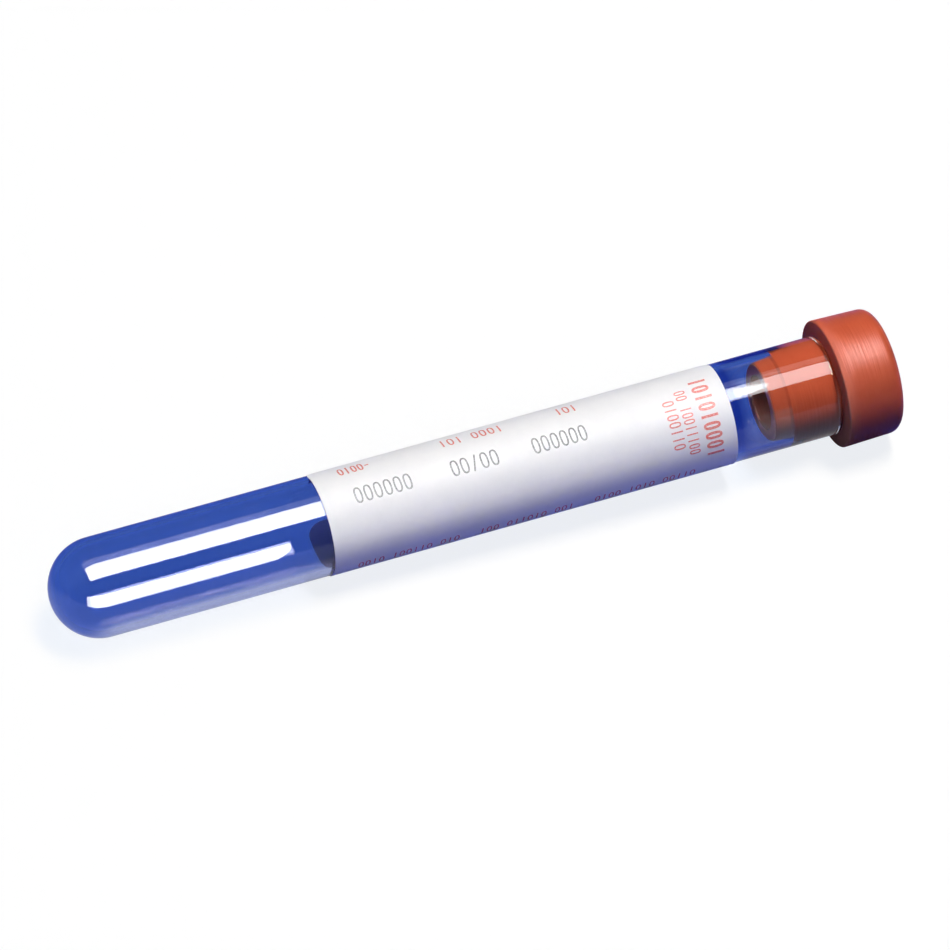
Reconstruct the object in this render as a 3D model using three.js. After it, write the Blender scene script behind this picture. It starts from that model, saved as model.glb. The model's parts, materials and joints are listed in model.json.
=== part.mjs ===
// Blood collection tube: a round-bottomed glass tube, a paper label wrapped part of the way round it,
// and a moulded rubber stopper in its mouth. The stopper pulls straight out along the tube's axis.
//
// Millimetres, +Z up, +X from the round bottom to the stopper. The tube lies as it comes to rest, on its
// round bottom and on the edge of the stopper's head, which is wider than the glass, so its axis rises a
// little towards the stopper. The origin is under the middle of the whole, on the surface it lies on.
// Each piece is first made along its own axis: s is the distance from the outside of the round bottom,
// and a turn is an angle round the axis, 0 at the top and a quarter turn at the front (-Y).

import * as THREE from "three";

// ---- Glass tube ----
const TUBE_LENGTH = 125;
const TUBE_DIAMETER = 15.4;
const TUBE_WALL = 1.1;

// ---- Stopper ----
const PLUG_CLEARANCE = 0.05; // radial, between the plug and the bore
const SEAT_CLEARANCE = 0.1; // along the axis, between the rim and the underside of the head
const PLUG_LENGTH = 8.4; // the stretch that fills the bore
const PLUG_ROOT_ROUND = 0.3; // between the plug and the underside of the head
const NOSE_LENGTH = 2.1; // the narrower stretch beyond the plug
const NOSE_STEP = 0.2; // how far the nose starts inside the plug
const NOSE_TAPER = 0.25; // how much the nose's radius shrinks to its end
const NOSE_WALL = 1.85; // rubber round the recess, at the end of the nose
const NOSE_EDGE = 0.35; // rounding of the nose's two edges
const RECESS_DRAFT = 0.25; // how much the recess's radius shrinks to its blind end
const RECESS_ROUND = 2.4; // at the blind end
const HEAD_DIAMETER = 19.96; // at its widest, next to the glass
const HEAD_HEIGHT = 9.3;
const HEAD_DRAFT = 0.28; // how much the head's radius shrinks to its top
const HEAD_LOWER_ROUND = 1.05;
const HEAD_UPPER_ROUND = 1.7;
const WELL_DIAMETER = 7.6; // the needle well in the top of the head
const WELL_DEPTH = 1.5;
const WELL_SLOPE = 0.5; // how much the well's radius shrinks to its floor
const WELL_ROUND = 0.5;
const DIAPHRAGM = 4.6; // rubber between the well and the recess, which the needle goes through

// ---- Label ----
const LABEL_START = 42.6; // s of its end nearer the round bottom
const LABEL_LENGTH = 65;
const LABEL_WIDTH = 38; // round the glass, which leaves a strip of it bare at the back
const LABEL_EDGE_TURN = -50; // degrees, of its back edge: just behind the top of the tube
const LABEL_CORNER = 3;
const LABEL_THICKNESS = 0.1;
const LABEL_CLEARANCE = 0.02; // the adhesive, between the glass and the paper

// ---- Faceting ----
const SIDES = 48; // flats round every turned form, with one straight down
const CHORD_SAG = 0.01; // the furthest that a chord of a rounded edge lies inside its arc
const CORNER_COLUMNS = 6; // in each rounded corner of the label

// ---- Derived ----
const TUBE_RADIUS = TUBE_DIAMETER / 2;
const BORE_RADIUS = TUBE_RADIUS - TUBE_WALL;
const PLUG_RADIUS = BORE_RADIUS - PLUG_CLEARANCE;
const NOSE_RADIUS = PLUG_RADIUS - NOSE_STEP;
const NOSE_END_RADIUS = NOSE_RADIUS - NOSE_TAPER;
const RECESS_RADIUS = NOSE_END_RADIUS - NOSE_WALL;
const HEAD_RADIUS = HEAD_DIAMETER / 2;
const HEAD_BASE = TUBE_LENGTH + SEAT_CLEARANCE; // s of the underside of the head
const HEAD_TOP = HEAD_BASE + HEAD_HEIGHT;
const PLUG_END = HEAD_BASE - PLUG_LENGTH;
const NOSE_END = PLUG_END - NOSE_LENGTH;
const WELL_RADIUS = WELL_DIAMETER / 2;
const WELL_FLOOR = HEAD_TOP - WELL_DEPTH;
const RECESS_END = WELL_FLOOR - DIAPHRAGM;
const FACET = (2 * Math.PI) / SIDES;
const FLAT_RATIO = Math.cos(FACET / 2); // a facet's middle over its corners, as distances from the axis

/** The points of an arc that rounds the corner at, between the corners before and after it. */
function roundedCorner(before, at, after, round) {
  if (round === 0) return [at];
  const back = before.clone().sub(at).normalize();
  const ahead = after.clone().sub(at).normalize();
  const half = Math.acos(THREE.MathUtils.clamp(back.dot(ahead), -1, 1)) / 2;
  const centre = back.clone().add(ahead).setLength(round / Math.sin(half)).add(at);
  const reach = round / Math.tan(half); // from the corner to where the arc starts and ends
  const first = back.setLength(reach).add(at).sub(centre);
  const last = ahead.setLength(reach).add(at).sub(centre);
  const chordAngle = 2 * Math.acos(1 - Math.min(CHORD_SAG / round, 1));
  const chords = Math.ceil((Math.PI - 2 * half) / chordAngle);
  const arc = new THREE.EllipseCurve(
    centre.x, centre.y, round, round, first.angle(), last.angle(), first.cross(last) < 0,
  );
  return arc.getPoints(Math.max(chords, 2));
}

/** A profile to turn about the axis, from its corners as [radius, s] or [radius, s, round]. */
function roundedProfile(corners) {
  const at = corners.map(([radius, s]) => new THREE.Vector2(radius, s));
  const last = at.length - 1;
  const points = at.flatMap((corner, i) =>
    i === 0 || i === last ? [corner] : roundedCorner(at[i - 1], corner, at[i + 1], corners[i][2] ?? 0),
  );
  return points.filter((point, i) => i === 0 || point.distanceTo(points[i - 1]) > 1e-6);
}

/** A profile turned about the X axis, with a flat facet straight down. */
function turned(profile) {
  return new THREE.LatheGeometry(profile, SIDES, FACET / 2).rotateZ(-Math.PI / 2);
}

/** A named piece. */
function piece(name, geometry, color, roughness, opacity = 1) {
  const material = new THREE.MeshStandardMaterial({
    color, roughness, metalness: 0, opacity, transparent: opacity < 1,
  });
  const mesh = new THREE.Mesh(geometry, material);
  mesh.name = name;
  return mesh;
}

/** Open glass tube with a round bottom and a fire-polished rim, its wall the same thickness all over. */
function tubeProfile() {
  return roundedProfile([
    [0, 0],
    [TUBE_RADIUS, 0, TUBE_RADIUS],
    [TUBE_RADIUS, TUBE_LENGTH, TUBE_WALL / 2],
    [BORE_RADIUS, TUBE_LENGTH, TUBE_WALL / 2],
    [BORE_RADIUS, TUBE_WALL, BORE_RADIUS],
    [0, TUBE_WALL],
  ]);
}

/** Moulded stopper: a head over the rim, a plug in the bore, and a hollow nose beyond it. */
function stopperProfile() {
  return roundedProfile([
    [0, RECESS_END],
    [RECESS_RADIUS - RECESS_DRAFT, RECESS_END, RECESS_ROUND],
    [RECESS_RADIUS, NOSE_END, NOSE_EDGE],
    [NOSE_END_RADIUS, NOSE_END, NOSE_EDGE],
    [NOSE_RADIUS, PLUG_END],
    [PLUG_RADIUS, PLUG_END],
    [PLUG_RADIUS, HEAD_BASE, PLUG_ROOT_ROUND],
    [HEAD_RADIUS, HEAD_BASE, HEAD_LOWER_ROUND],
    [HEAD_RADIUS - HEAD_DRAFT, HEAD_TOP, HEAD_UPPER_ROUND],
    [WELL_RADIUS, HEAD_TOP, WELL_ROUND],
    [WELL_RADIUS - WELL_SLOPE, WELL_FLOOR, WELL_ROUND],
    [0, WELL_FLOOR],
  ]);
}

/** How far the label's rounded corners draw its end back, at a distance from its long edge. */
function cornerSetback(distance) {
  const inside = Math.max(LABEL_CORNER - distance, 0);
  return LABEL_CORNER - Math.sqrt(LABEL_CORNER ** 2 - inside ** 2);
}

/** The label's columns, as distances round the glass from its back edge: one at each corner between two
 * of the glass's facets, so that the paper lies along the glass, and a few more in its rounded corners. */
function labelColumns() {
  const columns = [0, LABEL_WIDTH];
  for (let i = 1; i <= CORNER_COLUMNS; i++) {
    const inset = LABEL_CORNER * (1 - Math.cos((i / CORNER_COLUMNS) * (Math.PI / 2)));
    columns.push(inset, LABEL_WIDTH - inset);
  }
  const edgeTurn = THREE.MathUtils.degToRad(LABEL_EDGE_TURN);
  const firstFacet = Math.ceil(edgeTurn / FACET - 0.5);
  for (let i = firstFacet; ; i++) {
    const distance = ((i + 0.5) * FACET - edgeTurn) * TUBE_RADIUS;
    if (distance >= LABEL_WIDTH) break;
    columns.push(distance);
  }
  columns.sort((a, b) => a - b);
  return columns.filter((distance, i) => i === 0 || distance - columns[i - 1] > 1e-3);
}

/** A point on a turned form whose facets' corners lie at a radius, at s and a turn. */
function onFacet(cornerRadius, s, turn) {
  const fromMiddle = turn - Math.round(turn / FACET) * FACET;
  const radius = (cornerRadius * FLAT_RATIO) / Math.cos(fromMiddle);
  return [s, -radius * Math.sin(turn), radius * Math.cos(turn)];
}

/** Paper label with rounded corners, bent round the glass and left open at the back. */
function labelGeometry() {
  const inner = TUBE_RADIUS + LABEL_CLEARANCE;
  const outer = inner + LABEL_THICKNESS;
  const columns = labelColumns();
  const positions = columns.flatMap((distance) => {
    const turn = THREE.MathUtils.degToRad(LABEL_EDGE_TURN) + distance / TUBE_RADIUS;
    const setback = cornerSetback(Math.min(distance, LABEL_WIDTH - distance));
    const start = LABEL_START + setback;
    const end = LABEL_START + LABEL_LENGTH - setback;
    return [[inner, start], [inner, end], [outer, start], [outer, end]]
      .flatMap(([radius, s]) => onFacet(radius, s, turn));
  });
  const index = [];
  const quad = (a, b, c, d) => index.push(a, b, c, a, c, d);
  quad(0, 2, 3, 1); // back edge
  for (let j = 0; j < columns.length - 1; j++) {
    const a = 4 * j;
    const b = a + 4; // the next column
    quad(a + 2, b + 2, b + 3, a + 3); // outside
    quad(a, a + 1, b + 1, b); // inside
    quad(a, b, b + 2, a + 2); // end nearer the round bottom
    quad(a + 1, a + 3, b + 3, b + 1); // end nearer the stopper
  }
  const z = 4 * (columns.length - 1);
  quad(z, z + 1, z + 3, z + 2); // front edge
  return new THREE.BufferGeometry()
    .setAttribute("position", new THREE.Float32BufferAttribute(positions, 3))
    .setIndex(index);
}

/** The rise of the axis at rest: of the lines that touch the round bottom and one point of the head from
 * below, the steepest is the surface that the tube lies on. */
function restTilt(profile) {
  const tilts = profile.map(({ x: radius, y: s }) => {
    const below = radius * FLAT_RATIO;
    const along = s - TUBE_RADIUS;
    return Math.atan2(below, along) - Math.asin((TUBE_RADIUS * FLAT_RATIO) / Math.hypot(below, along));
  });
  return Math.max(...tilts);
}

const stopper = stopperProfile();
const head = stopper.filter(({ y: s }) => s >= HEAD_BASE);

const tube = new THREE.Group();
tube.add(
  piece("glass_tube", turned(tubeProfile()), 0x4a68b8, 0.04, 0.4),
  piece("label", labelGeometry(), 0xf0eeee, 0.6),
  piece("stopper", turned(stopper), 0xb9502f, 0.55),
);
tube.rotation.y = -restTilt(head);

const part = new THREE.Group();
part.add(tube);
const box = new THREE.Box3().setFromObject(part, true);
const middle = box.getCenter(new THREE.Vector3());
tube.position.set(-middle.x, -middle.y, -box.min.z);

export default part;
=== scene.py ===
"""Looks of a blood collection tube: a glass tube with painted blue, its paper label and its moulded rubber
stopper.

Every piece is first shaped along the tube's own axis, in millimetres: s runs from the outside of the
round bottom towards the stopper, and a turn goes round the axis, 0 at the top and a quarter turn at the
front. TubeAxis then places it in the frame, in metres.
"""

import json
import logging
import math
from collections.abc import Mapping, Sequence
from dataclasses import dataclass, field
from enum import Enum, Flag, auto

import bpy
import numpy as np
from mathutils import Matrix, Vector


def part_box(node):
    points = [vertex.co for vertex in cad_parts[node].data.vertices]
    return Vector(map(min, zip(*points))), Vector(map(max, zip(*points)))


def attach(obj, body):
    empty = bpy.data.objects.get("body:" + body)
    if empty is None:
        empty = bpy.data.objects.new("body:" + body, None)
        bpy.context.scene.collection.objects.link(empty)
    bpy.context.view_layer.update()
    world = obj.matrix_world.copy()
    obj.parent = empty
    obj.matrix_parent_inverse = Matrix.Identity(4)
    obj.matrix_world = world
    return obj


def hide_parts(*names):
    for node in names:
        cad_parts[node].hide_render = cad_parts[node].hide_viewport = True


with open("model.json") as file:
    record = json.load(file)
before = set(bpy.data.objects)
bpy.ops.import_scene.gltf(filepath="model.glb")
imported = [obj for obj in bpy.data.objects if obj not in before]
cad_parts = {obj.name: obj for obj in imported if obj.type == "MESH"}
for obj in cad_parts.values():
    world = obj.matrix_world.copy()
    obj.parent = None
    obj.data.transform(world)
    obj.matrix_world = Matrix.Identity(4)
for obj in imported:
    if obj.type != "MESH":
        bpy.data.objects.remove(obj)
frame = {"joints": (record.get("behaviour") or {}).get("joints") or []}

LOG = logging.getLogger("blood_tube")
MM = 0.001
ARC_STEP = math.radians(3.0)  # between the points of a rounded edge
RUN_STEP = 2.0  # mm, the longest straight stretch between two points of a profile

Array = np.ndarray
Colour = tuple[float, float, float, float]
Input = bpy.types.NodeSocket | float | Sequence[float]


# ---- Colours and nodes ----


def linear(hex_colour: str) -> Colour:
    """Turns an sRGB hex colour into the linear colour that a shader takes.

    Each channel c becomes c / 12.92 below 0.04045, and ((c + 0.055) / 1.055) to the power 2.4 above it.

    Args:
        hex_colour: Six hex digits after a hash, such as "#7390CE".

    Returns:
        Red, green, blue and an alpha of 1.
    """
    channels = np.array([int(hex_colour[i : i + 2], 16) for i in (1, 3, 5)]) / 255
    low = channels / 12.92
    high = ((channels + 0.055) / 1.055) ** 2.4
    red, green, blue = np.where(channels <= 0.04045, low, high).tolist()
    return red, green, blue, 1.0


def add_node(
    tree: bpy.types.NodeTree,
    kind: str,
    inputs: Mapping[str | int, Input] | None = None,
    **settings: object,
) -> bpy.types.Node:
    """Adds a node with its settings and links.

    Args:
        tree: The node tree that gets it.
        kind: The node's type.
        inputs: For each input, by name or place, a value or the output that is linked to it.
        **settings: The node's own properties.

    Returns:
        The new node.
    """
    node = tree.nodes.new(kind)
    for name, setting in settings.items():
        setattr(node, name, setting)
    for key, value in (inputs or {}).items():
        if isinstance(value, bpy.types.NodeSocket):
            tree.links.new(value, node.inputs[key])
        else:
            node.inputs[key].default_value = value
    return node


def new_material(name: str) -> tuple[bpy.types.Material, bpy.types.NodeTree]:
    """Makes an empty node material.

    Args:
        name: The material's name.

    Returns:
        The material and its node tree.
    """
    material = bpy.data.materials.new(name)
    material.use_nodes = True
    material.node_tree.nodes.clear()
    return material, material.node_tree


# ---- Surfaces ----


@dataclass(frozen=True)
class TubeAxis:
    """The tube's own axis in the frame.

    Attributes:
        tip: The outside of the round bottom, in metres.
        along: Unit direction from the tip towards the stopper.
        up: Unit direction square to it, as near to upright as it gets.
        front: Unit direction square to both.
    """

    tip: Array
    along: Array
    up: Array
    front: Array

    @classmethod
    def from_frame(cls, node: str, joint: str, radius: float, flats: int) -> "TubeAxis":
        """Finds the axis from the solid tube, which lies on its round bottom.

        The joint gives the direction. The bottom's centre lies one radius inside the solid's lowest x, and
        one radius times cos(pi / flats) above its lowest z, because one of the solid's flats faces down.

        Args:
            node: The solid tube.
            joint: The joint that slides along the axis.
            radius: Outer radius of the tube, in millimetres.
            flats: Flats round the solid tube.

        Returns:
            The axis.
        """
        slide = next(each for each in frame["joints"] if each["name"] == joint)
        along = np.array(slide["axis"]) / np.linalg.norm(slide["axis"])
        up = np.array([-along[2], 0.0, along[0]])
        low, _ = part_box(node)
        reach = radius * MM
        centre = np.array([low.x + reach, 0.0, low.z + reach * math.cos(math.pi / flats)])
        return cls(tip=centre - reach * along, along=along, up=up, front=np.cross(along, up))

    @property
    def tilt(self) -> float:
        """The rise of the axis, in radians."""
        return math.asin(self.along[2])

    def place(self, s: Array, radius: Array, turn: Array) -> Array:
        """Points in the frame: tip + s along + radius (cos(turn) up + sin(turn) front).

        Args:
            s: Distances along the axis, in millimetres.
            radius: Distances from the axis, in millimetres.
            turn: Angles round the axis, in radians. The three broadcast together.

        Returns:
            The points in metres, with x, y and z in the last dimension.
        """
        s, radius, turn = (each[..., None] for each in np.broadcast_arrays(s, radius, turn))
        outward = np.cos(turn) * self.up + np.sin(turn) * self.front
        return self.tip + MM * (s * self.along + radius * outward)


@dataclass(frozen=True)
class Corner:
    """A corner of a profile, at s and a radius, with the radius of its rounding."""

    s: float
    radius: float
    rounding: float = 0.0


def rounded_corner(before: Array, corner: Array, after: Array, rounding: float) -> Array:
    """Rounds a corner with an arc that touches both of its sides.

    With half the corner's angle h, the arc's centre lies on the bisector at rounding / sin(h), and the arc
    turns by pi - 2 h from the foot of the centre on one side to the foot on the other.

    Args:
        before: The corner before this one.
        corner: The corner to round.
        after: The corner after this one.
        rounding: Radius of the arc.

    Returns:
        The points of the arc, one per row.
    """
    if rounding == 0:
        return corner[None, :]
    back = (before - corner) / np.linalg.norm(before - corner)
    ahead = (after - corner) / np.linalg.norm(after - corner)
    half = math.acos(np.clip(back @ ahead, -1, 1)) / 2
    bisector = (back + ahead) / np.linalg.norm(back + ahead)
    centre = corner + bisector * rounding / math.sin(half)
    reach = rounding / math.tan(half)
    first, last = corner + back * reach - centre, corner + ahead * reach - centre
    bend = math.atan2(first[0] * last[1] - first[1] * last[0], first @ last)
    steps = np.linspace(0, bend, max(3, math.ceil(abs(bend) / ARC_STEP) + 1))[:, None]
    across = np.array([-first[1], first[0]])
    return centre + np.cos(steps) * first + np.sin(steps) * across


def rounded_profile(corners: Sequence[Corner]) -> Array:
    """Turns corners into the points of a profile, with arcs at the corners and short straight runs.

    Args:
        corners: The corners in order. The first and last are kept as they are.

    Returns:
        One row of s and radius for each point.
    """
    at = [np.array([each.s, each.radius]) for each in corners]
    arcs = [
        rounded_corner(at[i - 1], at[i], at[i + 1], corners[i].rounding) for i in range(1, len(at) - 1)
    ]
    points = np.concatenate([at[:1], *arcs, at[-1:]])
    lengths = np.linalg.norm(np.diff(points, axis=0), axis=1)
    points = points[np.concatenate([[True], lengths > 1e-6])]
    runs = [
        np.linspace(start, end, max(1, math.ceil(np.linalg.norm(end - start) / RUN_STEP)), endpoint=False)
        for start, end in zip(points[:-1], points[1:], strict=True)
    ]
    return np.concatenate([*runs, points[-1:]])


def mesh_object(name: str, points: Array, faces: Sequence[Array], crease: float = 40.0) -> bpy.types.Object:
    """Makes a mesh object at the origin, smooth apart from its creases.

    Args:
        name: The object's name.
        points: One row for each vertex, in metres.
        faces: Arrays of faces, each with as many columns as its faces have corners.
        crease: Degrees between two faces from which their edge stays sharp.

    Returns:
        The object, linked to the scene.
    """
    mesh = bpy.data.meshes.new(name)
    mesh.from_pydata(points.reshape(-1, 3), [], [face for group in faces for face in group.tolist()])
    mesh.shade_smooth()
    mesh.set_sharp_from_angle(angle=math.radians(crease))
    mesh.validate()
    made = bpy.data.objects.new(name, mesh)
    bpy.context.scene.collection.objects.link(made)
    return made


def grid_faces(rows: Array, closed: bool = False) -> Array:
    """The four-sided faces between neighbours of a grid of vertex numbers.

    The face at (i, j) runs (i, j), (i, j + 1), (i + 1, j + 1), (i + 1, j), so it faces along the cross
    product of the step in j and the step in i.

    Args:
        rows: Vertex numbers, with i down and j across.
        closed: Whether the last column joins on to the first.

    Returns:
        One row of four vertex numbers for each face.
    """
    if closed:
        rows = np.concatenate([rows, rows[:, :1]], axis=1)
    corners = [rows[:-1, :-1], rows[:-1, 1:], rows[1:, 1:], rows[1:, :-1]]
    return np.stack(corners, axis=-1).reshape(-1, 4)


def revolved(name: str, profile: Array, axis: TubeAxis, sides: int) -> bpy.types.Object:
    """Turns a profile about the axis into a closed surface.

    Point (i, j) is the profile's point i at the turn 2 pi j / sides. The profile starts and ends on the
    axis, and each of those two ends is one vertex with a fan of triangles round it.

    Args:
        name: The object's name.
        profile: Rows of s and radius, with the material on the left of its way.
        axis: The axis that it turns about.
        sides: Steps round the axis.

    Returns:
        The object.
    """
    turns = np.arange(sides) * (2 * math.pi / sides)
    rings = axis.place(profile[1:-1, :1], profile[1:-1, 1:], turns)
    poles = axis.place(profile[[0, -1], 0], np.zeros(2), np.zeros(2))
    numbers = np.arange(rings.shape[0] * sides).reshape(-1, sides)
    first, last = np.full(sides, numbers.size), np.full(sides, numbers.size + 1)
    ahead = np.roll(numbers, -1, axis=1)
    fans = [
        np.stack([first, ahead[0], numbers[0]], axis=1),
        np.stack([last, numbers[-1], ahead[-1]], axis=1),
    ]
    points = np.concatenate([rings.reshape(-1, 3), poles])
    return mesh_object(name, points, [grid_faces(numbers, closed=True), *fans])


def smooth_step(value: Array, low: float, high: float) -> Array:
    """Rises from 0 at low to 1 at high, level at both ends: 3 t^2 - 2 t^3 for the share t of the way."""
    share = np.clip((value - low) / (high - low), 0.0, 1.0)
    return share * share * (3 - 2 * share)


def set_share(made: bpy.types.Object, name: str, shares: Array) -> None:
    """Stores one number for each vertex, which a material reads by its name.

    Args:
        made: The object.
        name: The attribute's name.
        shares: The numbers, in the order of the vertices.
    """
    attribute = made.data.attributes.new(name, "FLOAT", "POINT")
    attribute.data.foreach_set("value", np.ascontiguousarray(shares, dtype=np.float32))


def ring_shares(shares: Array, sides: int) -> Array:
    """Spreads one number for each point of a profile over the vertices that revolved makes of it."""
    return np.concatenate([np.repeat(shares[1:-1], sides), shares[[0, -1]]])


# ---- Finishes ----


def axis_coordinates(
    tree: bpy.types.NodeTree, tilt: float, along: float, across: float
) -> bpy.types.NodeSocket:
    """Object coordinates turned to the tube's axis and counted in steps of a pattern.

    Args:
        tree: The material's node tree.
        tilt: The rise of the tube's axis.
        along: Size of one step of the pattern along the axis, in millimetres.
        across: Size of one step square to the axis, in millimetres.

    Returns:
        The coordinates, with x along the axis.
    """
    place = add_node(tree, "ShaderNodeTexCoord").outputs["Object"]
    turned = add_node(tree, "ShaderNodeMapping", {"Vector": place, "Rotation": (0.0, tilt, 0.0)})
    steps = (1 / (along * MM), 1 / (across * MM), 1 / (across * MM))
    scaled = add_node(tree, "ShaderNodeMapping", {"Vector": turned.outputs["Vector"], "Scale": steps})
    return scaled.outputs["Vector"]


@dataclass(frozen=True)
class DrawnGlass:
    """Borosilicate glass, drawn into tube and closed in a flame, clear but painted blue on its outside.

    Drawing leaves faint ridges along the tube, a few to a millimetre, which shiver the edges of what the
    glass mirrors. The painted blue stands for a blue background seen through the clear glass, a deep blue
    with slow clouds. An attribute says where it is painted: not over the plug, which shows in its own red.
    Where a second attribute is 1 it is painted twice as deep. Light that falls on what is inside goes
    straight through the wall and takes a part of its tint: the colour to the power of passing_tint.
    """

    tilt: float
    clear: str = "#FDFEFF"
    # painted blue: it stands for a blue background seen through the clear glass
    painted_blue: str = "#3959B7"
    deeper_painted_blue: str = "#3353AE"
    ridge_spacing: float = 0.9
    ridge_length: float = 45.0
    ridge_height: float = 0.0015
    cloud_size: float = 14.0
    refractive_index: float = 1.474
    passing_tint: float = 0.18

    def colour(self, tree: bpy.types.NodeTree) -> bpy.types.NodeSocket:
        """Mixes the glass's colour: clear, or painted blue, or the painted blue squared where it is painted
        deep.

        Args:
            tree: The material's node tree.

        Returns:
            The colour.
        """
        clouds = add_node(
            tree,
            "ShaderNodeTexNoise",
            {
                "Vector": axis_coordinates(tree, self.tilt, 4 * self.cloud_size, self.cloud_size),
                "Scale": 1.0,
                "Detail": 2.0,
            },
        )
        thin = add_node(
            tree,
            "ShaderNodeMix",
            {0: clouds.outputs["Fac"], 6: linear(self.painted_blue), 7: linear(self.deeper_painted_blue)},
            data_type="RGBA",
        )
        painted_depth = add_node(tree, "ShaderNodeAttribute", attribute_name="painted_depth").outputs["Fac"]
        power = add_node(tree, "ShaderNodeMath", {0: painted_depth, 1: 1.0}, operation="ADD").outputs["Value"]
        painted_blue = add_node(tree, "ShaderNodeGamma", {"Color": thin.outputs[2], "Gamma": power})
        painted_blue_share = add_node(tree, "ShaderNodeAttribute", attribute_name="painted_blue").outputs["Fac"]
        mixed = add_node(
            tree,
            "ShaderNodeMix",
            {0: painted_blue_share, 6: linear(self.clear), 7: painted_blue.outputs["Color"]},
            data_type="RGBA",
        )
        return mixed.outputs[2]

    def material(self) -> bpy.types.Material:
        """Makes the material.

        Returns:
            The material.
        """
        material, tree = new_material("borosilicate_glass_drawn")
        place = axis_coordinates(tree, self.tilt, self.ridge_length, self.ridge_spacing)
        ridges = add_node(tree, "ShaderNodeTexNoise", {"Vector": place, "Scale": 1.0})
        relief = add_node(
            tree,
            "ShaderNodeBump",
            {"Height": ridges.outputs["Fac"], "Strength": 1.0, "Distance": self.ridge_height * MM},
        )
        # clear glass with painted blue, which stands for the background seen through it
        colour = self.colour(tree)
        glass = add_node(
            tree,
            "ShaderNodeBsdfPrincipled",
            {
                "Base Color": colour,
                "Roughness": 0.0,
                "IOR": self.refractive_index,
                "Transmission Weight": 1.0,
                "Normal": relief.outputs["Normal"],
            },
        )
        rays = add_node(tree, "ShaderNodeLightPath").outputs
        rough = add_node(
            tree,
            "ShaderNodeMath",
            {0: rays["Is Glossy Ray"], 1: rays["Is Singular Ray"]},
            operation="SUBTRACT",
        )
        straight = rays["Is Shadow Ray"]
        for other in (rays["Is Diffuse Ray"], rough.outputs["Value"]):
            straight = add_node(
                tree, "ShaderNodeMath", {0: straight, 1: other}, operation="MAXIMUM"
            ).outputs["Value"]
        tint = add_node(tree, "ShaderNodeGamma", {"Color": colour, "Gamma": self.passing_tint})
        passed = add_node(tree, "ShaderNodeBsdfTransparent", {"Color": tint.outputs["Color"]})
        chosen = add_node(
            tree,
            "ShaderNodeMixShader",
            {0: straight, 1: glass.outputs["BSDF"], 2: passed.outputs["BSDF"]},
        )
        add_node(tree, "ShaderNodeOutputMaterial", {"Surface": chosen.outputs["Shader"]})
        return material


@dataclass(frozen=True)
class CoatedPaper:
    """Label paper with a thin white coating, calendered to a silk gloss.

    The pressed coating is close to even, with a faint cloudiness from the fibres under it and a fine tooth
    that spreads its highlight. Its back, where an attribute is 1, is painted a pinkish white brighter than
    the paper: painted light on the shaded back, which looks deep blue through the glass's painted blue.
    """

    tilt: float
    white: str = "#F3F1F1"
    shade: str = "#E9E8EA"
    # painted light: a pinkish white, brighter than the paper, on the shaded back of the label
    painted_back_pink: str = "#FFE4F4"
    cloud_size: float = 2.2
    fibre_length: float = 0.9
    fibre_width: float = 0.16
    tooth_height: float = 0.006
    roughness: tuple[float, float] = (0.42, 0.62)
    mirror_level: float = 0.15

    def material(self) -> bpy.types.Material:
        """Makes the material.

        Returns:
            The material.
        """
        material, tree = new_material("label_paper_coated")
        clouds = add_node(
            tree,
            "ShaderNodeTexNoise",
            {
                "Vector": axis_coordinates(tree, self.tilt, self.cloud_size, self.cloud_size),
                "Scale": 1.0,
                "Detail": 4.0,
            },
        )
        fibres = add_node(
            tree,
            "ShaderNodeTexNoise",
            {
                "Vector": axis_coordinates(tree, self.tilt, self.fibre_width, self.fibre_length),
                "Scale": 1.0,
                "Detail": 3.0,
            },
        )
        colour = add_node(
            tree,
            "ShaderNodeMix",
            {0: clouds.outputs["Fac"], 6: linear(self.white), 7: linear(self.shade)},
            data_type="RGBA",
        )
        # the label's back, where the painted light goes
        label_back = add_node(tree, "ShaderNodeAttribute", attribute_name="label_back").outputs["Fac"]
        colour = add_node(
            tree, "ShaderNodeMix", {0: label_back, 6: colour.outputs[2], 7: linear(self.painted_back_pink)}, data_type="RGBA"
        )
        smoothest, roughest = self.roughness
        gloss = add_node(
            tree,
            "ShaderNodeMapRange",
            {"Value": fibres.outputs["Fac"], "To Min": smoothest, "To Max": roughest},
        )
        relief = add_node(
            tree,
            "ShaderNodeBump",
            {"Height": fibres.outputs["Fac"], "Strength": 1.0, "Distance": self.tooth_height * MM},
        )
        paper = add_node(
            tree,
            "ShaderNodeBsdfPrincipled",
            {
                "Base Color": colour.outputs[2],
                "Roughness": gloss.outputs["Result"],
                "Specular IOR Level": self.mirror_level,
                "Normal": relief.outputs["Normal"],
            },
        )
        add_node(tree, "ShaderNodeOutputMaterial", {"Surface": paper.outputs["BSDF"]})
        return material


class Ink(Enum):
    """The two printing inks: the fixed captions, and the numbers that are stamped on later."""

    CAPTION = "#D2564A"
    STAMP = "#3A3A42"


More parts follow.
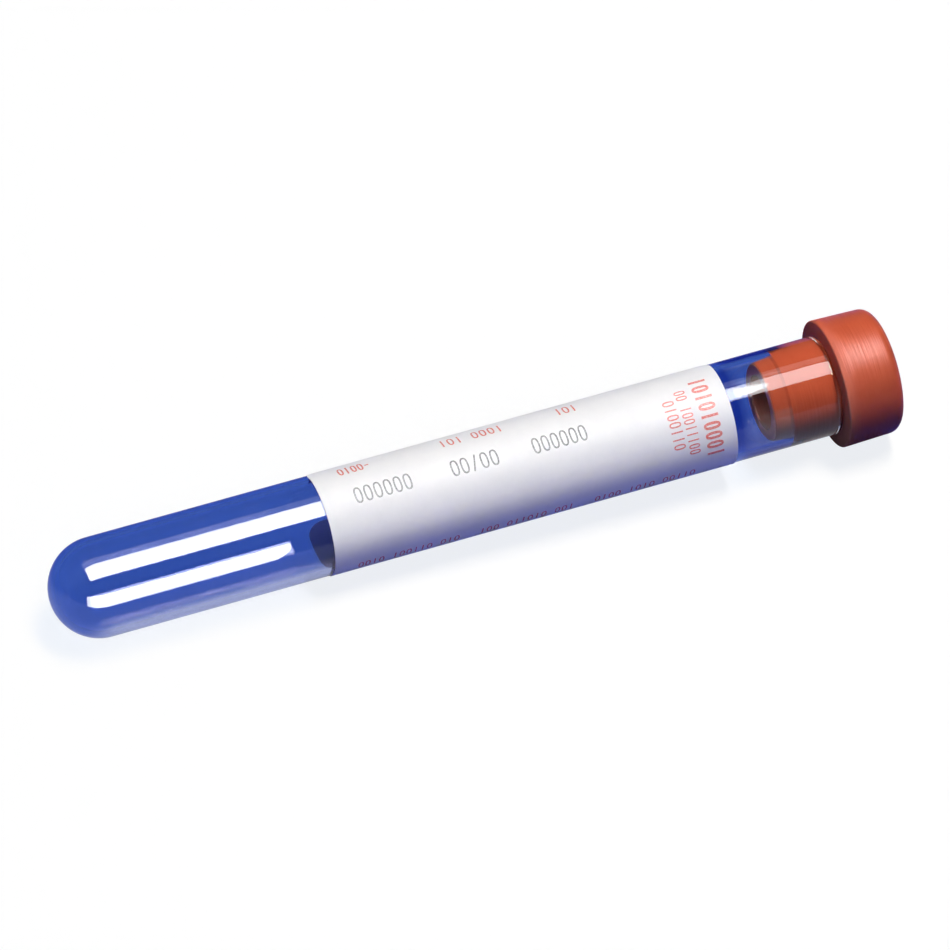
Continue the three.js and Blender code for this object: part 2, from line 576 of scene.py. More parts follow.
@dataclass(frozen=True)
class PrintedInk:
    """Flexographic ink on the label, thin enough to leave the paper showing through in specks.

    Attributes:
        ink: Which ink.
        tilt: The rise of the tube's axis.
        paper: The colour of the paper under it.
        speck_size: Size of the specks, in millimetres.
        speck_noise: The values of the noise at which a speck starts, and at which it is deepest.
        most_paper: The share of the paper that shows at a speck's deepest.
        roughness: The least and the most.
    """

    ink: Ink
    tilt: float
    paper: str = "#F0EEEE"
    speck_size: float = 0.22
    speck_noise: tuple[float, float] = (0.42, 0.72)
    most_paper: float = 0.38
    roughness: tuple[float, float] = (0.4, 0.6)

    def material(self) -> bpy.types.Material:
        """Makes the material.

        Returns:
            The material.
        """
        material, tree = new_material(f"ink_{self.ink.name.lower()}_flexographic")
        specks = add_node(
            tree,
            "ShaderNodeTexNoise",
            {
                "Vector": axis_coordinates(tree, self.tilt, self.speck_size, self.speck_size),
                "Scale": 1.0,
                "Detail": 3.0,
            },
        )
        start, deepest = self.speck_noise
        cover = add_node(
            tree,
            "ShaderNodeMapRange",
            {
                "Value": specks.outputs["Fac"],
                "From Min": start,
                "From Max": deepest,
                "To Max": self.most_paper,
            },
        )
        colour = add_node(
            tree,
            "ShaderNodeMix",
            {0: cover.outputs["Result"], 6: linear(self.ink.value), 7: linear(self.paper)},
            data_type="RGBA",
        )
        smoothest, roughest = self.roughness
        gloss = add_node(
            tree,
            "ShaderNodeMapRange",
            {"Value": specks.outputs["Fac"], "To Min": smoothest, "To Max": roughest},
        )
        ink = add_node(
            tree,
            "ShaderNodeBsdfPrincipled",
            {"Base Color": colour.outputs[2], "Roughness": gloss.outputs["Result"]},
        )
        add_node(tree, "ShaderNodeOutputMaterial", {"Surface": ink.outputs["BSDF"]})
        return material


@dataclass(frozen=True)
class MouldedRubber:
    """Butyl rubber, moulded in a turned steel mould, brick red.

    The mould's turning marks run round it as fine lines, the pigment is a little cloudy, and the band next
    to the lower edge of the head is duller than the rest. Where the plug presses on the glass there is no
    air between the two, so it has no gloss of its own. The end face of the nose, which gets little light
    inside the tube, is painted a paler red: painted light. Attributes for the dull band, the pressed plug
    and the painted light say where.
    """

    tilt: float
    red: str = "#D3603E"
    deeper_red: str = "#C45033"
    # painted light: a paler red on the end face of the nose, which gets little light
    painted_light_red: str = "#FFA68C"
    cloud_size: float = 3.0
    line_spacing: float = 0.42  # drawn coarser than the real marks, so that they show
    line_reach: float = 9.0
    line_height: float = 0.055
    grain_size: float = 0.18
    grain_height: float = 0.003
    roughness: tuple[float, float] = (0.26, 0.4)
    dull_roughness: float = 0.7
    mirror_level: float = 0.28

    def material(self) -> bpy.types.Material:
        """Makes the material.

        Returns:
            The material.
        """
        material, tree = new_material("butyl_rubber_moulded")
        clouds = add_node(
            tree,
            "ShaderNodeTexNoise",
            {
                "Vector": axis_coordinates(tree, self.tilt, self.cloud_size, self.cloud_size),
                "Scale": 1.0,
                "Detail": 3.0,
            },
        )
        lines = add_node(
            tree,
            "ShaderNodeTexNoise",
            {
                "Vector": axis_coordinates(tree, self.tilt, self.line_spacing, self.line_reach),
                "Scale": 1.0,
                "Detail": 2.0,
            },
        )
        grain = add_node(
            tree,
            "ShaderNodeTexNoise",
            {
                "Vector": axis_coordinates(tree, self.tilt, self.grain_size, self.grain_size),
                "Scale": 1.0,
                "Detail": 2.0,
            },
        )
        colour = add_node(
            tree,
            "ShaderNodeMix",
            {0: clouds.outputs["Fac"], 6: linear(self.red), 7: linear(self.deeper_red)},
            data_type="RGBA",
        )
        smoothest, roughest = self.roughness
        gloss = add_node(
            tree,
            "ShaderNodeMapRange",
            {"Value": lines.outputs["Fac"], "To Min": smoothest, "To Max": roughest},
        )
        pressed, dull, painted_light_lip = (
            add_node(tree, "ShaderNodeAttribute", attribute_name=name).outputs["Fac"]
            for name in ("pressed", "dull", "painted_light_lip")
        )
        # painted light on the nose's end face
        colour = add_node(
            tree,
            "ShaderNodeMix",
            {0: painted_light_lip, 6: colour.outputs[2], 7: linear(self.painted_light_red)},
            data_type="RGBA",
        )
        roughness = add_node(
            tree, "ShaderNodeMix", {0: dull, 2: gloss.outputs["Result"], 3: self.dull_roughness}
        )
        mirror = add_node(
            tree, "ShaderNodeMapRange", {"Value": pressed, "To Min": self.mirror_level, "To Max": 0.0}
        )
        line_relief = add_node(
            tree,
            "ShaderNodeBump",
            {"Height": lines.outputs["Fac"], "Strength": 1.0, "Distance": self.line_height * MM},
        )
        relief = add_node(
            tree,
            "ShaderNodeBump",
            {
                "Height": grain.outputs["Fac"],
                "Strength": 1.0,
                "Distance": self.grain_height * MM,
                "Normal": line_relief.outputs["Normal"],
            },
        )
        rubber = add_node(
            tree,
            "ShaderNodeBsdfPrincipled",
            {
                "Base Color": colour.outputs[2],
                "Roughness": roughness.outputs[0],
                "Specular IOR Level": mirror.outputs["Result"],
                "Normal": relief.outputs["Normal"],
            },
        )
        add_node(tree, "ShaderNodeOutputMaterial", {"Surface": rubber.outputs["BSDF"]})
        return material


@dataclass(frozen=True)
class StudioFloor:
    """A matt table under the tube: white to the eye and in what the glass shows, and dark blue as a bounce.

    Attributes:
        shadow_share: How much of the floor's white is light that falls on it, so how deep shadows are.
        shadow_reach: How far from the tube's middle, in metres, that share starts to fade to nothing.
        bounce: The colour of the light that it sends back up at matt surfaces.
        mirrored_to: How far behind the tube, in metres, the glass still mirrors the floor pale.
        mirrored_level: How pale that is.
    """

    shadow_share: tuple[float, float, float, float] = (0.2, 0.175, 0.135, 1.0)
    shadow_reach: float = 0.15
    bounce: str = "#3C48AA"
    mirrored_to: float = 0.03
    mirrored_level: float = 0.5

    def material(self) -> bpy.types.Material:
        """Makes the material.

        Returns:
            The material.
        """
        material, tree = new_material("studio_table_matt")
        rays = add_node(tree, "ShaderNodeLightPath")
        place = add_node(tree, "ShaderNodeTexCoord").outputs["Object"]
        behind = add_node(tree, "ShaderNodeSeparateXYZ", {"Vector": place}).outputs["Y"]
        near = add_node(
            tree,
            "ShaderNodeMapRange",
            {
                "Value": behind,
                "From Min": self.mirrored_to,
                "From Max": 0.0,
                "To Max": self.mirrored_level,
            },
            interpolation_type="SMOOTHSTEP",
        )
        mirrored = add_node(
            tree,
            "ShaderNodeMath",
            {0: near.outputs["Result"], 1: rays.outputs["Is Singular Ray"]},
            operation="MULTIPLY",
        )
        seen = rays.outputs["Is Camera Ray"]
        for other in (mirrored.outputs["Value"], rays.outputs["Is Transmission Ray"]):
            seen = add_node(tree, "ShaderNodeMath", {0: seen, 1: other}, operation="MAXIMUM").outputs["Value"]
        away = add_node(tree, "ShaderNodeVectorMath", {0: place}, operation="LENGTH").outputs["Value"]
        far = add_node(
            tree,
            "ShaderNodeMapRange",
            {"Value": away, "From Min": self.shadow_reach, "From Max": 2 * self.shadow_reach},
            interpolation_type="SMOOTHSTEP",
        ).outputs["Result"]
        share = add_node(
            tree,
            "ShaderNodeMix",
            {0: far, 6: self.shadow_share, 7: (0.0, 0.0, 0.0, 1.0)},
            data_type="RGBA",
        ).outputs[2]
        lit = add_node(tree, "ShaderNodeBsdfDiffuse", {"Color": share})
        rest = add_node(tree, "ShaderNodeInvert", {"Color": share}).outputs["Color"]
        glow = add_node(tree, "ShaderNodeEmission", {"Color": rest, "Strength": 1.0})
        white = add_node(tree, "ShaderNodeAddShader", {0: lit.outputs["BSDF"], 1: glow.outputs["Emission"]})
        bounce = add_node(tree, "ShaderNodeBsdfDiffuse", {"Color": linear(self.bounce)})
        chosen = add_node(
            tree,
            "ShaderNodeMixShader",
            {0: seen, 1: bounce.outputs["BSDF"], 2: white.outputs["Shader"]},
        )
        add_node(tree, "ShaderNodeOutputMaterial", {"Surface": chosen.outputs["Shader"]})
        return material


# ---- The tube's pieces ----


@dataclass(frozen=True)
class GlassTube:
    """The round-bottomed tube, open at the stopper's end, with a fire-polished rim.

    Attributes:
        length: Of the glass, in millimetres, as are all sizes of a piece.
        radius: Of its outside.
        wall: Thickness of the glass.
        solid_flats: Flats round the solid tube.
        sides: Steps round this one.
        front_side: The way that the tube's front faces, in the frame.
        front_painted_blue_end: s at which the painted blue ends in front.
        back_painted_blue_end: s at which it ends behind.
        back_cosines: Cosines to the front side between which the back's painted blue fades out.
        thin_cosines: Cosines where the painted blue is thin along the lower edge, a painted paler band, faded
            at each end.
        thinned: The share that is gone from it there.
        carried_on: The share of the painted blue that goes on along the lower edge, under the plug, as
            painted shade.
    """

    length: float = 125.0
    radius: float = 7.7
    wall: float = 1.1
    solid_flats: int = 48
    sides: int = 160
    front_side: tuple[float, float, float] = (-0.259, -0.677, 0.689)
    front_painted_blue_end: float = 109.8
    back_painted_blue_end: float = 119.0
    back_cosines: tuple[float, float] = (0.36, 0.44)
    thin_cosines: tuple[float, float, float, float] = (-0.35, -0.1, 0.58, 0.74)
    thinned: float = 0.3
    carried_on: float = 0.7

    @property
    def bore(self) -> float:
        """Radius of the bore."""
        return self.radius - self.wall

    def profile(self) -> Array:
        """Draws the wall: from the outer pole up the outside, over the rim and down to the inner pole.

        Returns:
            Rows of s and radius.
        """
        corners = [
            Corner(0, 0),
            Corner(0, self.radius, self.radius),
            Corner(self.length, self.radius, self.wall / 2),
            Corner(self.length, self.bore, self.wall / 2),
            Corner(self.wall, self.bore, self.bore),
            Corner(self.wall, 0),
        ]
        return rounded_profile(corners)

    def painted_blue(self, tube: bpy.types.Object, axis: TubeAxis) -> dict[str, Array]:
        """Says where the painted blue is on the outside, and how deep.

        The cosine of the angle between the front side and the way that a place faces is their dot product,
        and low is 1 along the tube's lower edge, as the front side sees it, and -1 along its upper edge.
        The painted blue ends sooner in front, so that the plug shows red. Behind that part it goes on to the
        back's own end, painted twice as deep, and along the lower edge it goes on under the plug as painted
        shade. Between the round bottom and the label it is thin along the lower edge, a painted paler band.

        Args:
            tube: The tube.
            axis: The tube's axis.

        Returns:
            The share of the painted blue at each vertex, and the share of its second depth, by attribute.
        """
        points = np.empty(3 * len(tube.data.vertices))
        tube.data.vertices.foreach_get("co", points)
        from_tip = (points.reshape(-1, 3) - axis.tip) / MM
        s = from_tip @ axis.along
        outward = (from_tip - np.maximum(s, self.radius)[:, None] * axis.along) / self.radius
        cosine = outward @ np.array(self.front_side)
        low = outward @ np.cross(axis.along, self.front_side)
        # painted paler band: less of the painted blue along the lower edge
        thin = np.interp(cosine, self.thin_cosines, (0.0, 1.0, 1.0, 0.0)) * smooth_step(low, 0.0, 0.5)
        thin *= smooth_step(s, 3.0, 9.0) * (1 - smooth_step(s, 60.0, 100.0))
        round_all = 1 - smooth_step(s, self.front_painted_blue_end, self.front_painted_blue_end + 1.0)
        behind = (1 - round_all) * (1 - smooth_step(s, self.back_painted_blue_end, self.back_painted_blue_end + 1.0))
        behind *= np.interp(cosine, self.back_cosines, (1.0, 0.0))
        # painted shade: the painted blue goes on along the lower edge, under the plug
        below = (1 - round_all) * smooth_step(low, 0.4, 0.85) * smooth_step(cosine, 0.2, 0.4)
        painted_blue = round_all * (1 - self.thinned * thin) + np.maximum(behind, self.carried_on * below)
        profile = self.profile()
        outside = ring_shares(np.arange(len(profile)) < profile[:, 0].argmax(), self.sides)
        return {"painted_blue": outside * painted_blue, "painted_depth": outside * behind}

    def build(self, axis: TubeAxis) -> list[bpy.types.Object]:
        """Makes the tube and dresses it.

        Args:
            axis: The tube's axis.

        Returns:
            The one piece.
        """
        tube = revolved("tube_glass", self.profile(), axis, self.sides)
        # painted blue, which stands for a blue background seen through the clear glass
        for name, shares in self.painted_blue(tube, axis).items():
            set_share(tube, name, shares)
        tube.data.materials.append(DrawnGlass(axis.tilt).material())
        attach(tube, "tube")
        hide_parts("glass_tube")
        return [tube]


@dataclass(frozen=True)
class PaperLabel:
    """A paper label with rounded corners, wrapped most of the way round the glass.

    A place on it is given as across, the distance along the tube from the label's end nearer the round
    bottom, and down, the distance round the glass from its back edge, which lies just behind the top.
    """

    glass_radius: float = 7.7
    start: float = 42.6
    length: float = 65.0
    width: float = 37.0
    back_turn: float = math.radians(-46)
    corner: float = 2.5
    sunk: float = 0.01  # into the glass, so that no air shows between the two
    thickness: float = 0.13
    corner_columns: int = 12
    columns: int = 120
    rows: int = 40

    @property
    def face_radius(self) -> float:
        """Distance of the printed face from the axis."""
        return self.glass_radius - self.sunk + self.thickness

    def turn(self, down: Array) -> Array:
        """The turn at a distance down: the back edge's, plus the distance over the glass's radius."""
        return self.back_turn + down / self.glass_radius

    def face(self, axis: TubeAxis, across: Array, down: Array, height: Array) -> Array:
        """Turns places on the label, at a height over its printed face, into points in the frame."""
        return axis.place(self.start + across, self.face_radius + height, self.turn(down))

    def setback(self, down: Array) -> Array:
        """Finds how far the rounded corners draw the label's ends back.

        Within a corner of radius c, at a distance d from the long edge, that is c - sqrt(c^2 - (c - d)^2).

        Args:
            down: Distances down the label.

        Returns:
            The distance from the label's full length at each end.
        """
        from_edge = np.minimum(down, self.width - down)
        inside = np.clip(self.corner - from_edge, 0, self.corner)
        return self.corner - np.sqrt(self.corner**2 - inside**2)

    def outline_columns(self) -> Array:
        """Spaces the sheet's columns, closer together in the rounded corners.

        Returns:
            Their distances down the label.
        """
        angles = np.linspace(0, math.pi / 2, self.corner_columns)
        inset = self.corner * (1 - np.cos(angles))
        middle = np.linspace(self.corner, self.width - self.corner, self.columns)
        return np.concatenate([inset[:-1], middle, self.width - inset[-2::-1]])

    def build(self, axis: TubeAxis) -> list[bpy.types.Object]:
        """Makes the sheet of paper and dresses it.

        Each column is a thin rectangle along the tube: its printed side out and its back side in. The
        columns are joined round the glass, and the first and the last are closed.

        Args:
            axis: The tube's axis.

        Returns:
            The one piece.
        """
        down = self.outline_columns()
        setback = self.setback(down)
        share = np.linspace(0, 1, self.rows)[:, None]
        across = setback + share * (self.length - 2 * setback)
        outside = self.face(axis, across, down, np.zeros(1))
        inside = self.face(axis, across, down, np.full(1, -self.thickness))
        points = np.concatenate([outside, inside[::-1], outside[:1]])
        numbers = np.arange(2 * self.rows * down.size).reshape(-1, down.size)
        around = np.concatenate([numbers, numbers[:1]])
        first = np.stack([numbers[: self.rows, 0], numbers[self.rows :, 0][::-1]])
        last = np.stack([numbers[: self.rows, -1], numbers[self.rows :, -1][::-1]])
        faces = [grid_faces(around), grid_faces(first), grid_faces(last[::-1])]
        label = mesh_object("label_paper", points[:-1], faces)
        # marks the back of the label, which gets the painted light
        set_share(label, "label_back", np.repeat([0.0, 1.0], self.rows * down.size))
        label.data.materials.append(CoatedPaper(axis.tilt).material())
        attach(label, "tube")
        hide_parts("label")
        return [label]


@dataclass(frozen=True)
class PrintRow:
    """A row of plain printed marks in place of lettering.

    Attributes:
        marks: One sign for each mark: o a ring, | a bar, / a slanted bar, - a dash, and a space.
        across: Where the row starts along the label, or its middle where it reads down the label.
        down: Where its middle lies round the label, or its start where it reads down the label.
        pitch: From one mark to the next.
        width: Of a ring, in the direction of reading.
        height: Of a mark, square to that.
        stroke: Width of the line that a mark is drawn with.
        ink: The ink.
        reads_down: Whether the row runs round the label instead of along it.
    """

    marks: str
    across: float
    down: float
    pitch: float
    width: float
    height: float
    stroke: float
    ink: Ink
    reads_down: bool = False

    def strokes(self) -> list[tuple[Array, bool]]:
        """Draws the middle line of each mark.

        A ring is a superellipse of power 2.6: x and y are w |cos t|^(2 / 2.6) and h |sin t|^(2 / 2.6),
        with the signs of the cosine and the sine.

        Returns:
            For each mark, its points in the direction of reading and square to it, and whether it closes.
        """
        half_width = (self.width - self.stroke) / 2
        half_height = (self.height - self.stroke) / 2
        angles = np.linspace(0, 2 * math.pi, 28, endpoint=False)
        wave = np.stack([np.cos(angles), np.sin(angles)], axis=1)
        ring = np.sign(wave) * np.abs(wave) ** (2 / 2.6) * (half_width, half_height)
        upright = np.linspace(-1, 1, 8)[:, None] * (0.0, self.height / 2)
        slanted = np.linspace(-1, 1, 8)[:, None] * (0.7 * half_width, -self.height / 2)
        level = np.linspace(-1, 1, 4)[:, None] * (half_width, 0.0)
        shapes = {"o": (ring, True), "|": (upright, False), "/": (slanted, False), "-": (level, False)}
        return [
            (shapes[sign][0] + (i * self.pitch + self.width / 2, 0.0), shapes[sign][1])
            for i, sign in enumerate(self.marks)
            if sign in shapes
        ]

    def on_label(self, places: Array) -> tuple[Array, Array]:
        """Turns places in the row into places on the label.

        Args:
            places: Distances in the direction of reading and square to it, in the last dimension.

        Returns:
            Distances across and down the label.
        """
        along, square = places[..., 0], places[..., 1]
        if self.reads_down:
            return self.across - square, self.down + along
        return self.across + along, self.down + square


@dataclass(frozen=True)
class LabelPrint:
    """The print on the label: captions, stamped numbers and rows that read down, in noughts and ones."""

    label: PaperLabel
    film: float = 0.02  # thicker than real ink, so that it stays clear of the paper in any viewer
    rows: tuple[PrintRow, ...] = field(
        default=(
            PrintRow("o|oo-", 4.3, 3.86, 1.05, 0.85, 2.0, 0.24, Ink.CAPTION),
            PrintRow("|o| ooo|", 20.6, 3.86, 1.3, 1.0, 2.0, 0.24, Ink.CAPTION),
            PrintRow("|o|", 39.3, 3.86, 1.2, 1.0, 2.0, 0.24, Ink.CAPTION),
            PrintRow("oooooo", 5.0, 9.26, 1.58, 1.25, 2.6, 0.25, Ink.STAMP),
            PrintRow("oo/oo", 20.5, 9.26, 1.58, 1.25, 2.6, 0.25, Ink.STAMP),
            PrintRow("oooooo", 33.6, 9.26, 1.5, 1.2, 2.6, 0.25, Ink.STAMP),
            PrintRow("o|oo||o", 55.8, 8.11, 1.14, 0.88, 1.87, 0.22, Ink.CAPTION, reads_down=True),
            PrintRow("oo |oo|||oo", 58.1, 6.86, 0.96, 0.76, 1.77, 0.2, Ink.CAPTION, reads_down=True),
            PrintRow("|o|o|ooo|", 61.4, 5.41, 1.5, 1.15, 2.7, 0.4, Ink.CAPTION, reads_down=True),
            PrintRow("oo|o |oo||o o|o", 3.86, 21.56, 1.1, 0.85, 1.7, 0.2, Ink.CAPTION),
            PrintRow("|oo o||o|o oo|", 23.4, 21.56, 1.1, 0.85, 1.7, 0.2, Ink.CAPTION),
            PrintRow("o|oo |o|o oo||o", 42.0, 21.56, 1.1, 0.85, 1.7, 0.2, Ink.CAPTION),
        )
    )

    def film_of(self, axis: TubeAxis, row: PrintRow, line: Array, closed: bool) -> tuple[Array, list[Array]]:
        """Lays one stroke on the label as a thin closed film.

        Its edges are the middle line plus and minus half the stroke along the line's normal. Each point of
        the line gives four vertices: both edges at the paper and both edges on top of the film.

        Args:
            axis: The tube's axis.
            row: The row that the stroke belongs to.
            line: The stroke's middle line in the row.
            closed: Whether the line's end joins on to its start.

        Returns:
            The vertices, and the faces as arrays of vertex numbers.
        """
        if closed:
            step = np.roll(line, -1, axis=0) - np.roll(line, 1, axis=0)
        else:
            step = np.gradient(line, axis=0)
        step /= np.linalg.norm(step, axis=1, keepdims=True)
        side = np.stack([-step[:, 1], step[:, 0]], axis=1) * row.stroke / 2
        section = np.stack([line - side, line - side, line + side, line + side])
        across, down = row.on_label(section)
        height = np.array([0.0, self.film, self.film, 0.0])[:, None]
        points = self.label.face(axis, across, down, height)
        numbers = np.arange(4 * len(line)).reshape(4, -1)
        faces = [grid_faces(np.concatenate([numbers, numbers[:1]]), closed)]
        if not closed:
            faces += [numbers[::-1, 0][None, :], numbers[:, -1][None, :]]
        return points.reshape(-1, 3), faces

    def build(self, axis: TubeAxis) -> list[bpy.types.Object]:
        """Makes one piece for each ink and dresses it.

        Args:
            axis: The tube's axis.

        Returns:
            The pieces.
        """
        pieces = []
        for ink in Ink:
            points: list[Array] = []
            faces: list[Array] = []
            for row in (each for each in self.rows if each.ink is ink):
                for line, closed in row.strokes():
                    start = sum(len(each) for each in points)
                    film_points, film_faces = self.film_of(axis, row, line, closed)
                    points.append(film_points)
                    faces += [each + start for each in film_faces]
            name = f"label_print_{ink.name.lower()}"
            piece = mesh_object(name, np.concatenate(points), faces)
            piece.data.materials.append(PrintedInk(ink, axis.tilt).material())
            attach(piece, "tube")
            pieces.append(piece)
        return pieces


@dataclass(frozen=True)
class RubberStopper:
    """The stopper: a thick head over the rim, a plug squeezed into the bore, and a hollow nose beyond it."""

    bore: float = 6.6
    squeeze: float = 0.02  # how far the plug presses into the bore, so that no air shows between the two
    base: float = 125.1  # s of the underside of the head
    plug_length: float = 8.4
    plug_edge: float = 0.06
    step_slope: float = 0.4  # along the axis, from the nose up to the plug
    step_round: float = 0.1
    neck_length: float = 0.65
    neck_radius: float = 6.4
    neck_slope: float = 0.1
    neck_round: float = 0.2
    nose_length: float = 2.5
    nose_radius: float = 6.35
    nose_end_radius: float = 6.1
    nose_edge: float = 0.35
    recess_radius: float = 4.25
    recess_draft: float = 0.25
    recess_round: float = 2.4
    head_radius: float = 9.98
    head_height: float = 9.3
    head_draft: float = 0.28
    lower_round: float = 0.3
    upper_round: float = 1.7
    well_radius: float = 3.8
    well_depth: float = 1.5
    well_slope: float = 0.5
    well_round: float = 0.5
    diaphragm: float = 4.6
    dull_band: float = 1.5  # from the underside of the head
    sides: int = 160

    @property
    def plug_radius(self) -> float:
        """Radius of the plug in the bore."""
        return self.bore + self.squeeze

    @property
    def plug_end(self) -> float:
        """The s at which the plug steps down to the nose."""
        return self.base - self.plug_length

    @property
    def nose_end(self) -> float:
        """The s of the nose's lip."""
        return self.plug_end - self.nose_length

    def profile(self) -> Array:
        """Draws the rubber: out of the recess, along the nose, plug and head, and into the well.

        Returns:
            Rows of s and radius.
        """
        top = self.base + self.head_height
        neck = self.base - self.neck_length
        well_floor = top - self.well_depth
        recess_end = well_floor - self.diaphragm
        corners = [
            Corner(recess_end, 0),
            Corner(recess_end, self.recess_radius - self.recess_draft, self.recess_round),
            Corner(self.nose_end, self.recess_radius, self.nose_edge),
            Corner(self.nose_end, self.nose_end_radius, self.nose_edge),
            Corner(self.plug_end, self.nose_radius, self.step_round),
            Corner(self.plug_end + self.step_slope, self.plug_radius, self.plug_edge),
            Corner(neck, self.plug_radius, self.plug_edge),
            Corner(neck + self.neck_slope, self.neck_radius, self.plug_edge),
            Corner(self.base, self.neck_radius, self.neck_round),
            Corner(self.base, self.head_radius, self.lower_round),
            Corner(top, self.head_radius - self.head_draft, self.upper_round),
            Corner(top, self.well_radius, self.well_round),
            Corner(well_floor, self.well_radius - self.well_slope, self.well_round),
            Corner(well_floor, 0),
        ]
        return rounded_profile(corners)

    def finishes(self, s: Array, radius: Array) -> dict[str, Array]:
        """Says where the rubber is pressed on the glass, where the nose's end is painted paler, and where it
        is dull.

        Args:
            s: The s of each point of the profile.
            radius: The radius of each.

        Returns:
            The share of each finish, and of the painted light, at each point, by attribute.
        """
        lip = self.recess_radius + self.nose_edge + 0.01
        dull_end = self.base + self.dull_band
        return {
            "pressed": (s < self.base) & (radius > lip),
            # painted light: the nose's end face is coloured paler
            "painted_light_lip": (s < self.nose_end + 0.1) & (radius > self.recess_radius),
            "dull": (radius > self.plug_radius) * (1 - smooth_step(s, dull_end, dull_end + 0.3)),
        }

    def build(self, axis: TubeAxis) -> list[bpy.types.Object]:
        """Makes the stopper and dresses it.

        Args:
            axis: The tube's axis.

        Returns:
            The one piece.
        """
        profile = self.profile()
        stopper = revolved("stopper_rubber", profile, axis, self.sides)
        for name, shares in self.finishes(*profile.T).items():
            set_share(stopper, name, ring_shares(shares, self.sides))
        stopper.data.materials.append(MouldedRubber(axis.tilt).material())
        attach(stopper, "stopper")
        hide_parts("stopper")
        return [stopper]


# ---- Studio ----


class Reach(Flag):
    """How a lamp is met: by matt surfaces, in a mirroring surface, and on the way out of glass."""

    MATT = auto()
    MIRROR = auto()
    GLASS = auto()


@dataclass(frozen=True)
class SoftBox:
    """A rectangular lamp that hangs over the table, along the tube, and faces it.

    Attributes:
        left: Its left end, as x in metres.
        right: Its right end.
        bearing: Direction from the tube to its middle, in degrees up from the front.
        distance: How far it hangs from the tube.
        breadth: Its size across the tube.
        radiance: How bright it looks, where 1 is white.
        reach: How it is met.
        colour: Its colour.
    """

    left: float
    right: float
    bearing: float
    distance: float
    breadth: float
    radiance: float
    reach: Reach
    colour: str = "#FFFFFF"

    def build(self, name: str) -> bpy.types.Object:
        """Makes the lamp. Its power is its radiance times pi times its area.

        Args:
            name: The lamp's name.

        Returns:
            The lamp.
        """
        light = bpy.data.lights.new(name, "AREA")
        light.shape = "RECTANGLE"
        light.size, light.size_y = self.right - self.left, self.breadth
        light.energy = self.radiance * math.pi * light.size * light.size_y
        light.color = linear(self.colour)[:3]
        bearing = math.radians(self.bearing)
        made = bpy.data.objects.new(name, light)
        made.location = (
            (self.left + self.right) / 2,
            -self.distance * math.cos(bearing),
            self.distance * math.sin(bearing),
        )
        made.rotation_euler = (math.pi / 2 - bearing, 0.0, 0.0)
        made.visible_camera = False
        made.visible_diffuse = Reach.MATT in self.reach
        made.visible_glossy = Reach.MIRROR in self.reach
        made.visible_transmission = Reach.GLASS in self.reach
        bpy.context.scene.collection.objects.link(made)
        return made


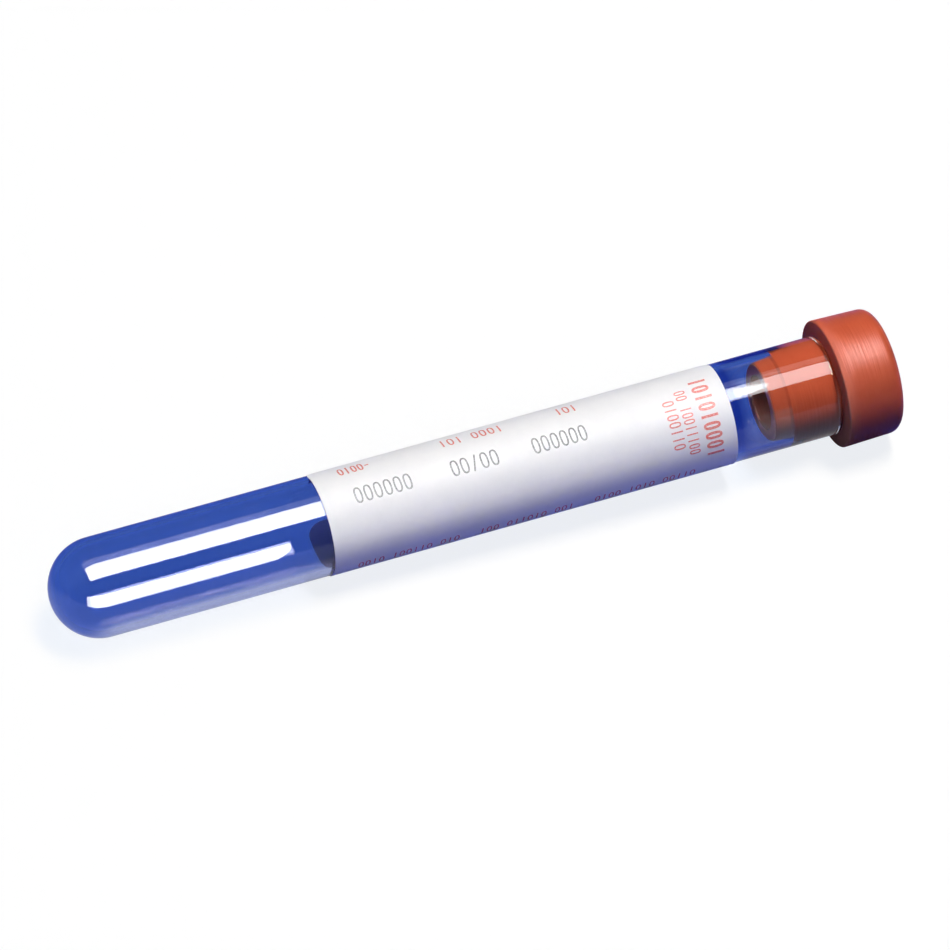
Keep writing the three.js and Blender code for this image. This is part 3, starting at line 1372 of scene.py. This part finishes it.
@dataclass(frozen=True)
class Studio:
    """A pale table in a dim room with a pale background, its soft boxes, and the camera.

    The key hangs high beyond the stopper and gives the light, and a weak box in front lifts all but the
    stopper. Gloss and glass show a long box overhead, which is dimmer at its right end and along its far
    side. What the far wall of the glass mirrors of it comes through the painted blue twice, so a strong
    amber box in its place, which only what comes out of the glass can meet, brings that stripe back to
    white. A low box in front is mirrored by the outside of the glass alone, in the same stripe.

    Attributes:
        floor_half: Half the width of the table, in metres, as are all sizes of the studio.
        floor_drop: How far the table lies under the tube.
        boxes: The lamps by name.
        room: How bright the room is to all but the eye and what is seen through glass.
        horizon: Heights in degrees between which the white that is seen through glass fades into the room.
        azimuth: The way the camera looks, in degrees. 0 looks along +Y, and below 0 it looks from the left.
        elevation: How far the camera looks down, in degrees.
        distance: Of the camera from the point that it looks at.
        aim: The point that it looks at.
        lens: Focal length, in millimetres.
        sensor: Width of the sensor, in millimetres.
    """

    floor_half: float = 3.0
    floor_drop: float = 0.00003
    boxes: Mapping[str, SoftBox] = field(
        default_factory=lambda: {
            "key_box": SoftBox(0.325, 0.625, 87.0, 2.0, 0.85, 51.5, Reach.MATT),
            "front_box": SoftBox(-0.5, 0.5, 32.0, 2.2, 1.2, 1.85, Reach.MATT),
            "long_box": SoftBox(-1.1, 0.55, 82.3, 1.95, 1.24, 21.5, Reach.MIRROR | Reach.GLASS),
            "long_box_end": SoftBox(0.55, 0.78, 82.3, 1.95, 1.1, 11.0, Reach.MIRROR),
            "long_box_side": SoftBox(-1.1, 0.78, 107.5, 1.95, 0.46, 1.6, Reach.MIRROR | Reach.GLASS),
            "glass_box": SoftBox(-1.1, 0.47, 82.3, 1.9, 1.2, 321.0, Reach.GLASS, colour="#FFA33B"),
            "low_box": SoftBox(-0.205, 0.0025, 14.0, 0.155, 0.079, 20.0, Reach.MIRROR),
        }
    )
    room: float = 0.06
    horizon: tuple[float, float] = (8.0, 20.0)
    azimuth: float = -20.94
    elevation: float = 43.55
    distance: float = 1.874
    aim: tuple[float, float, float] = (0.00093, 0.00058, 0.00972)
    lens: float = 470.8
    sensor: float = 36.0

    def build_floor(self) -> None:
        """Makes the table top, just under the lowest point of the tube."""
        signs = np.array([[-1, -1], [1, -1], [1, 1], [-1, 1]])
        points = np.column_stack([signs * self.floor_half, np.full(4, -self.floor_drop)])
        floor = mesh_object("studio_floor", points, [np.array([[0, 1, 2, 3]])])
        floor.data.materials.append(StudioFloor().material())

    def build_world(self) -> None:
        """Makes the room: white to the eye, and through glass up to a low height, and dim for the rest."""
        world = bpy.data.worlds.new("studio_room")
        world.use_nodes = True
        tree = world.node_tree
        tree.nodes.clear()
        rays = add_node(tree, "ShaderNodeLightPath").outputs
        direction = add_node(tree, "ShaderNodeTexCoord").outputs["Generated"]
        height = add_node(tree, "ShaderNodeSeparateXYZ", {"Vector": direction}).outputs["Z"]
        lower, upper = (math.sin(math.radians(each)) for each in self.horizon)
        low = add_node(
            tree,
            "ShaderNodeMapRange",
            {"Value": height, "From Min": upper, "From Max": lower},
            interpolation_type="SMOOTHSTEP",
        )
        through = add_node(
            tree,
            "ShaderNodeMath",
            {0: low.outputs["Result"], 1: rays["Is Transmission Ray"]},
            operation="MULTIPLY",
        )
        seen = add_node(
            tree,
            "ShaderNodeMath",
            {0: rays["Is Camera Ray"], 1: through.outputs["Value"]},
            operation="MAXIMUM",
        )
        level = add_node(
            tree, "ShaderNodeMapRange", {"Value": seen.outputs["Value"], "To Min": self.room, "To Max": 1.0}
        )
        white = (1.0, 1.0, 1.0, 1.0)
        sky = add_node(tree, "ShaderNodeBackground", {"Color": white, "Strength": level.outputs["Result"]})
        add_node(tree, "ShaderNodeOutputWorld", {"Surface": sky.outputs["Background"]})
        bpy.context.scene.world = world

    def build_camera(self) -> None:
        """Places the camera on its bearing from the point that it looks at."""
        azimuth, elevation = math.radians(self.azimuth), math.radians(self.elevation)
        back = Vector(
            (
                math.sin(azimuth) * math.cos(elevation),
                -math.cos(azimuth) * math.cos(elevation),
                math.sin(elevation),
            )
        )
        lens = bpy.data.cameras.new("camera")
        lens.lens = self.lens
        lens.sensor_width = self.sensor
        camera = bpy.data.objects.new("camera", lens)
        camera.location = Vector(self.aim) + back * self.distance
        camera.rotation_euler = back.to_track_quat("Z", "Y").to_euler()
        bpy.context.scene.collection.objects.link(camera)
        bpy.context.scene.camera = camera

    def keep_off(self, box: str, pieces: Sequence[bpy.types.Object]) -> None:
        """Keeps a lamp's light off some pieces.

        Args:
            box: The lamp's name.
            pieces: The pieces that it doesn't light.
        """
        spared = bpy.data.collections.new(f"{box}_spares")
        for piece in pieces:
            spared.objects.link(piece)
        for member in spared.collection_objects:
            member.light_linking.link_state = "EXCLUDE"
        bpy.data.objects[box].light_linking.receiver_collection = spared

    def build(self) -> None:
        """Makes the whole studio."""
        self.build_floor()
        self.build_world()
        for name, box in self.boxes.items():
            box.build(name)
        self.build_camera()
        bpy.context.scene.view_settings.view_transform = "Standard"


def main() -> None:
    """Builds the studio and the tube's pieces."""
    logging.basicConfig(level=logging.INFO, format="%(name)s: %(message)s")
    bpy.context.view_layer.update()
    studio = Studio()
    studio.build()
    glass = GlassTube()
    axis = TubeAxis.from_frame("glass_tube", "stopper_pull", glass.radius, glass.solid_flats)
    label = PaperLabel(glass_radius=glass.radius)
    stopper = RubberStopper(bore=glass.bore)
    for part in (glass, label, LabelPrint(label), stopper):
        pieces = part.build(axis)
        for piece in pieces:
            LOG.info("%s: %d faces", piece.name, len(piece.data.polygons))
        if part is stopper:
            studio.keep_off("front_box", pieces)


if __name__ == "__main__":
    main()
